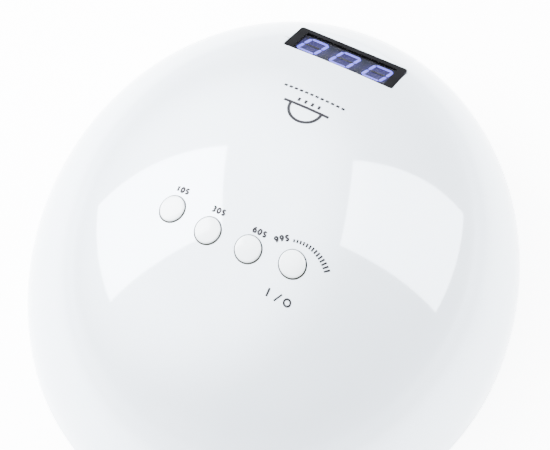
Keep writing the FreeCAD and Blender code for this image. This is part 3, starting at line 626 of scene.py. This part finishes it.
def figure_strokes(sign):
    """Lines that draw one figure, one unit high above and below its middle, each with its closed flag."""
    bowl = arc_points(0.0, -0.42, 0.58, 0, 345, 23)
    rise = map(math.radians, range(180, 95, -12))
    stem = [(0.5 + 1.08 * math.cos(a), -0.35 + 1.32 * math.sin(a)) for a in rise]
    oval = [(0.62 * math.cos(a), math.sin(a)) for a in map(math.radians, range(0, 360, 15))]
    three = arc_points(-0.05, 0.5, 0.5, 150, -90, 14) + arc_points(-0.05, -0.5, 0.5, 90, -150, 14)[1:]
    ess = arc_points(0.0, 0.5, 0.5, 25, 270, 14) + arc_points(0.0, -0.5, 0.5, 90, -155, 14)[1:]
    strokes = {
        "0": [(oval, True)],
        "1": [([(-0.4, 0.5), (0.1, 1.0), (0.1, -1.0)], False)],
        "3": [(three, False)],
        "6": [(bowl, True), (stem, False)],
        "9": [([(-x, -y) for x, y in bowl], True), ([(-x, -y) for x, y in stem], False)],
        "S": [(ess, False)],
    }
    return strokes[sign]


def letters(text):
    """Flat mesh of a few figures in a row, centred."""
    bm = bmesh.new()
    width = FIGURE_STROKE * FIGURE_HEIGHT
    half = (FIGURE_HEIGHT - width) / 2
    for place, sign in enumerate(text):
        middle = (place - (len(text) - 1) / 2) * FIGURE_PITCH * FIGURE_HEIGHT
        for points, closed in figure_strokes(sign):
            stroke(bm, [(middle + x * half, y * half) for x, y in points], width, closed)
    return bm


def from_back(x, y):
    """Placing rule for printing that is read from behind the lamp."""
    return lambda u, v: (x - u, y - v)


def from_front(x, y):
    """Placing rule for printing that is read from the front."""
    return lambda u, v: (x + u, y + v)


def round_button(u, v):
    """Placing rule for printing on an arc over the last button, read from behind the lamp."""
    turn = ARC_START - u / ARC_RADIUS
    radius = ARC_RADIUS + v
    return ARC_MIDDLE[0] + radius * math.sin(turn), ARC_MIDDLE[1] - radius * math.cos(turn)


def printing():
    """Numbers beside the buttons, a scale, on and off signs, and a plain lamp sign."""
    film("print_10s", letters("10S"), from_back(24.7, 14.5))
    film("print_30s", letters("30S"), from_back(7.9, 16.8))
    film("print_60s", letters("60S"), from_back(-9.5, 17.6))
    film("print_99s", letters("99S"), round_button)
    scale = bmesh.new()
    for i in range(14):
        u = 4.6 + 1.27 * i
        stroke(scale, [(u, -1.2), (u, -0.1 + 0.1 * i)], 0.72)
    film("print_scale", scale, round_button)
    signs = bmesh.new()
    stroke(signs, [(-4.0, -1.5), (-4.0, 1.5)], 0.8)
    stroke(signs, [(-0.9, -1.6), (0.9, 1.6)], 0.65)
    stroke(signs, arc_points(3.7, 0.0, 1.2, 0, 345, 23), 0.75, True)
    film("print_on_off", signs, from_back(-25.4, 34.6))
    lamp = bmesh.new()
    stroke(lamp, arc_points(0.0, -1.65, 6.4, 0, 180, 26), 1.15)
    stroke(lamp, [(-9.4, -2.2), (9.4, -2.2)], 1.15)
    for u in (-4.2, -1.4, 1.4, 4.2):
        stroke(lamp, [(u, -3.7), (u, -5.4)], 1.0)
    film("print_lamp", lamp, from_front(-1.5, -32.6))
    dashes = bmesh.new()
    for i in range(12):
        u = -12.1 + 2.2 * i
        stroke(dashes, [(u - 0.65, 0.0), (u + 0.65, 0.0)], 1.0)
    film("print_dashes", dashes, from_front(-1.5, -41.5))


# ---------------------------------------------------------------- the display's face

FACE_TOP, FACE_BOTTOM = 0.05, 0.005     # the film's two faces, out from the tray's floor


def digit_face():
    """Slate film on the floor of the digit block's tray, with rounded corners."""
    bm = bmesh.new()
    outline = []
    for corner in range(4):
        x = (FACE_HALF_X - FACE_CORNER) * (1 if corner in (0, 3) else -1)
        v = FACE_MIDDLE_V + (FACE_HALF_V - FACE_CORNER) * (1 if corner in (0, 1) else -1)
        outline += arc_points(x, v, FACE_CORNER, 90 * corner, 90 * corner + 90, 5)
    upper = [bm.verts.new(at_window(Vector((x, v, FACE_N + FACE_TOP)))) for x, v in outline]
    lower = [bm.verts.new(at_window(Vector((x, v, FACE_N + FACE_BOTTOM)))) for x, v in outline]
    bm.faces.new(upper)
    bm.faces.new(reversed(lower))
    for i in range(len(outline)):
        j = (i + 1) % len(outline)
        bm.faces.new([lower[i], lower[j], upper[j], upper[i]])
    finish_object("digit_face", bm, face_finish(), "housing")


# ---------------------------------------------------------------- lamps under the liner

CAVITY = Vector((84.0, 86.0, 58.0))     # half width, half depth and rise of the hand cavity
LEDGE_TOP = 8.4
LAMP_ROWS = ((28, 10, -14, 194), (52, 8, -24, 204), (75, 6, -60, 240))  # rise, count, first and last turn
LENS_RADIUS = 2.9
LAMP_SINK = 2.2                         # how far the base of a lamp sits behind the liner's inside


def lamp_places():
    """Point on the liner's inside and the direction into the cavity, for each lamp."""
    places = []
    for rise, count, first, last in LAMP_ROWS:
        for i in range(count):
            around = math.radians(first + (last - first) * i / (count - 1))
            up = math.radians(rise)
            level = math.cos(up)
            unit = Vector((level * math.cos(around), level * math.sin(around), math.sin(up)))
            point = Vector((unit.x * CAVITY.x, unit.y * CAVITY.y, LEDGE_TOP + unit.z * CAVITY.z))
            inward = -Vector((unit.x / CAVITY.x, unit.y / CAVITY.y, unit.z / CAVITY.z)).normalized()
            places.append((point, inward))
    return places


def lamps():
    """Lens with a rim, and emitter with a raised phosphor disc, at every lamp."""
    dome_base, dome_rise = LAMP_SINK, 2.88
    lens_profile = [(0.0, 1.1), (2.2, 1.1), (2.3, 0.0), (LENS_RADIUS, 0.0)]
    lens_profile.append((LENS_RADIUS, dome_base + 0.05))
    for angle in map(math.radians, range(6, 90, 7)):
        lens_profile.append((LENS_RADIUS * math.cos(angle), dome_base + dome_rise * math.sin(angle)))
    lens_profile.append((0.0, dome_base + dome_rise))
    lens = lathe(lens_profile, 40)
    emitter_profile = [
        (0.0, 0.0), (2.0, 0.0), (2.0, 0.45), (1.7, 0.5), (1.3, 0.5), (1.15, 0.8), (0.0, 0.8),
    ]
    emitter = lathe(emitter_profile, 24)
    lenses, emitters = bmesh.new(), bmesh.new()
    for point, inward in lamp_places():
        turn = Vector((0, 0, 1)).rotation_difference(inward).to_matrix().to_4x4()
        matrix = Matrix.Translation(point - inward * LAMP_SINK) @ turn
        add_copy(lenses, lens, matrix)
        add_copy(emitters, emitter, matrix)
    lens.free()
    emitter.free()
    finish_object("lens_domes", lenses, LENS, "housing", ["lamp_lenses"])
    finish_object("emitter_discs", emitters, PHOSPHOR, "housing", ["lamp_emitters"])


# ---------------------------------------------------------------- CAD nodes that stay

KEPT = {
    "reflector_plate": STEEL_PLATE,
    "tray_magnets": NICKEL,
    "lamp_boards": WHITE_BOARD,
    "lamp_loom": BLACK,
    "hand_sensors": SENSOR,
    "sensor_board": GREEN_BOARD,
    "display_window": WINDOW,
    "display_module": BLACK,
    "display_lit_bars": LIT,
    "display_dark_bars": UNLIT,
    "display_board": GREEN_BOARD,
    "display_socket": IVORY,
    "display_ribbon": CABLE,
    "control_board": GREEN_BOARD,
    "switch_bodies": BLACK,
    "controller_chip": BLACK,
    "power_transistors": BLACK,
    "capacitors": CAN,
    "buzzer": BLACK,
    "control_sockets": IVORY,
    "inlet_body": BLACK,
    "inlet_pin": NICKEL,
    "power_lead": BLACK,
    "shell_screws": SCREW,
    "liner_screws": SCREW,
    "control_screws": SCREW,
    "display_screws": SCREW,
    "plunger_10s": BLACK,
    "plunger_30s": BLACK,
    "plunger_60s": BLACK,
    "plunger_99s": BLACK,
}


def kept_nodes():
    """Gives the CAD nodes that stay their finish."""
    for node, material in KEPT.items():
        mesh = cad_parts[node].data
        mesh.materials.clear()
        mesh.materials.append(material)


# ---------------------------------------------------------------- studio

LIGHTS_AIM_Z = 0.08             # height that the soft boxes face, in metres
FLOOR_HALF = 4.0                # half the side of the floor, in metres
# Painted pool of light on the floor round the lamp: its glow, and its middle in metres
FLOOR_PAINTED_LIGHT = 4.2
PAINTED_POOL_MIDDLE = (0.06, -0.04, 0.0)
PAINTED_POOL_FADE = (0.19, 0.45)       # where the painted light starts to fade and is dim, from its middle, in metres


def area_light(name, direction, across, tall, width, height, power):
    """Soft box one metre away that faces the lamp, its width and height along two given directions."""
    data = bpy.data.lights.new(name, "AREA")
    data.shape = "RECTANGLE"
    data.size, data.size_y = width, height
    data.energy = power
    back = Vector(direction).normalized()
    side = Vector(across)
    side = (side - back * side.dot(back)).normalized()
    up = back.cross(side)
    if up.dot(Vector(tall)) < 0:
        side, up = -side, -up
    turn = Matrix((side, up, back)).transposed().to_4x4()
    light = bpy.data.objects.new(name, data)
    light.matrix_world = Matrix.Translation(back + Vector((0, 0, LIGHTS_AIM_Z))) @ turn
    bpy.context.scene.collection.objects.link(light)


def studio():
    """White floor, soft light all round, and two tall soft boxes left and right of the camera."""
    bm = bmesh.new()
    bmesh.ops.create_grid(bm, x_segments=24, y_segments=24, size=FLOOR_HALF)
    mesh = bpy.data.meshes.new("floor")
    bm.to_mesh(mesh)
    bm.free()
    floor = bpy.data.objects.new("floor", mesh)
    bpy.context.scene.collection.objects.link(floor)
    mesh.materials.append(floor_finish())
    bpy.context.scene.world = soft_sky()
    area_light(
        "soft_box_left", (0.777, 0.171, 0.606), across=(-0.39, 0.884, 0.26), tall=(-0.52, -0.36, 0.77),
        width=0.66, height=1.04, power=56.0,
    )
    area_light(
        "soft_box_right", (-0.717, -0.416, 0.558), across=(-0.373, 0.918, 0.132), tall=(0.58, 0.12, 0.8),
        width=0.68, height=1.08, power=44.0,
    )


def floor_finish():
    """White table top with a painted pool of light near the lamp, falling off to a pale grey far away."""
    material, tree, shader = node_tree("floor_white_painted_light")
    place = tree.nodes.new("ShaderNodeTexCoord")
    away = tree.nodes.new("ShaderNodeVectorMath")
    away.operation = "DISTANCE"
    away.inputs[1].default_value = PAINTED_POOL_MIDDLE
    tree.links.new(place.outputs["Object"], away.inputs[0])
    # Painted light: colour and glow fall off away from a middle a little to +X and -Y of the lamp
    fade = smooth_range(tree, away.outputs["Value"], *PAINTED_POOL_FADE, 0.0, 1.0)
    pale = ramp_of(tree, fade, (0.93, 0.93, 0.93), (0.50, 0.50, 0.51), 0.0, 1.0)
    glow = ramp_of(tree, fade, (1.0, 1.0, 1.0), (0.06, 0.06, 0.06), 0.0, 1.0)
    tree.links.new(pale, shader.inputs["Base Color"])
    tree.links.new(glow, shader.inputs["Emission Color"])
    shader.inputs["Emission Strength"].default_value = FLOOR_PAINTED_LIGHT
    shader.inputs["Roughness"].default_value = 0.7
    return material


BRIGHTEST = Vector((0.5, 0.1, 0.86))    # where the sky is brightest
SKY_SPREAD = (0.35, 0.85)               # cosines from there at which the sky is dim and bright
HORIZON_SPREAD = (0.0, 0.25)            # heights over which the pale horizon fades out
SKY_DIM, SKY_BRIGHT, HORIZON_BRIGHT = 0.4, 11.0, 2.0


def soft_sky():
    """Light from all round: bright overhead and towards +X, pale at the horizon, dim between."""
    world = bpy.data.worlds.new("soft_sky")
    world.use_nodes = True
    tree = world.node_tree
    place = tree.nodes.new("ShaderNodeTexCoord")
    toward = tree.nodes.new("ShaderNodeVectorMath")
    toward.operation = "DOT_PRODUCT"
    toward.inputs[1].default_value = BRIGHTEST.normalized()
    split = tree.nodes.new("ShaderNodeSeparateXYZ")
    tree.links.new(place.outputs["Generated"], toward.inputs[0])
    tree.links.new(place.outputs["Generated"], split.inputs["Vector"])
    glow = smooth_range(tree, toward.outputs["Value"], *SKY_SPREAD, SKY_DIM, SKY_BRIGHT)
    haze = smooth_range(tree, split.outputs["Z"], *HORIZON_SPREAD, HORIZON_BRIGHT, SKY_DIM)
    brighter = tree.nodes.new("ShaderNodeMath")
    brighter.operation = "MAXIMUM"
    tree.links.new(glow, brighter.inputs[0])
    tree.links.new(haze, brighter.inputs[1])
    background = tree.nodes["Background"]
    background.inputs["Color"].default_value = (0.97, 0.985, 1.0, 1.0)
    tree.links.new(brighter.outputs["Value"], background.inputs["Strength"])
    return world


AZIMUTH, ELEVATION, ROLL = 214.192, 64.442, -6.867      # of the camera, in degrees
DISTANCE = 520.05
AIM_Z = 50.0                    # height of the point that the camera is turned to


def camera():
    """Camera behind the lamp and high up, on the side of the 99 s button."""
    azimuth, elevation, roll = (math.radians(a) for a in (AZIMUTH, ELEVATION, ROLL))
    back = Vector((
        math.sin(azimuth) * math.cos(elevation),
        -math.cos(azimuth) * math.cos(elevation),
        math.sin(elevation),
    ))
    right = Vector((math.cos(azimuth), math.sin(azimuth), 0.0))
    up = back.cross(right)
    side = right * math.cos(roll) + up * math.sin(roll)
    over = up * math.cos(roll) - right * math.sin(roll)
    turn = Matrix((side, over, back)).transposed().to_4x4()
    data = bpy.data.cameras.new("camera")
    data.sensor_width = 36.0
    data.lens = 84.35
    data.shift_x = 0.01538
    data.shift_y = 0.02713
    data.clip_start, data.clip_end = 0.01, 50.0
    place = (Vector((0, 0, AIM_Z)) + back * DISTANCE) * MM
    obj = bpy.data.objects.new("camera", data)
    obj.matrix_world = Matrix.Translation(place) @ turn
    bpy.context.scene.collection.objects.link(obj)
    bpy.context.scene.camera = obj


housing()
feet()
for key, (key_x, key_y) in BUTTON_XY.items():
    button_cap(key, key_x, key_y)
printing()
digit_face()
lamps()
kept_nodes()
studio()
camera()
